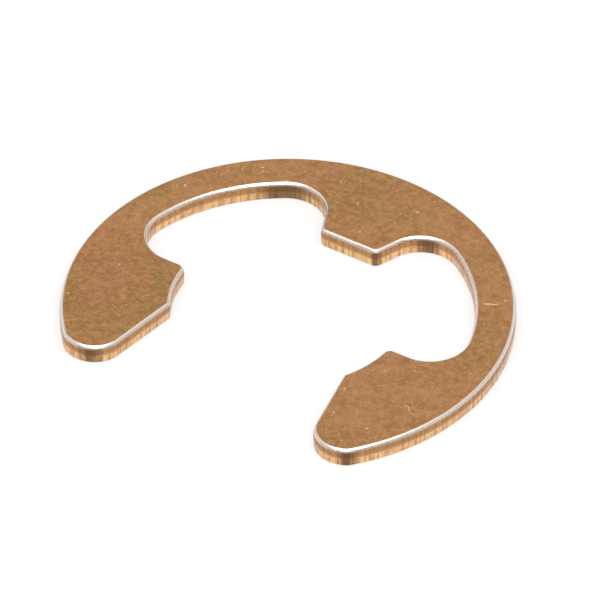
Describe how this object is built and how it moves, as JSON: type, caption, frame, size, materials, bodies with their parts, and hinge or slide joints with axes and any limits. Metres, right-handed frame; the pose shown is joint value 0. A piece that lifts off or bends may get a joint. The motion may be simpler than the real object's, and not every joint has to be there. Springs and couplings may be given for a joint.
{
  "type": "e clip",
  "caption": "Flat spring-steel retaining ring, pushed sideways over a grooved shaft so that its tooth and prongs bear on the floor of the groove.",
  "frame": {"origin": "centre of the shaft groove that the clip seats in, on the underside of the clip", "axes": "+Z along the shaft, towards the face with the rolled edges; +Y towards the middle tooth; the mouth opens towards -Y; +X across the clip"},
  "size_m": [0.0238, 0.0204, 0.0011],
  "materials": {
    "plated_steel": "bronze-coloured passivated plating on spring steel, satin faces and bright rolled edges"
  },
  "bodies": {
    "root": {"e_clip": "plated_steel"}
  },
  "joints": []
}
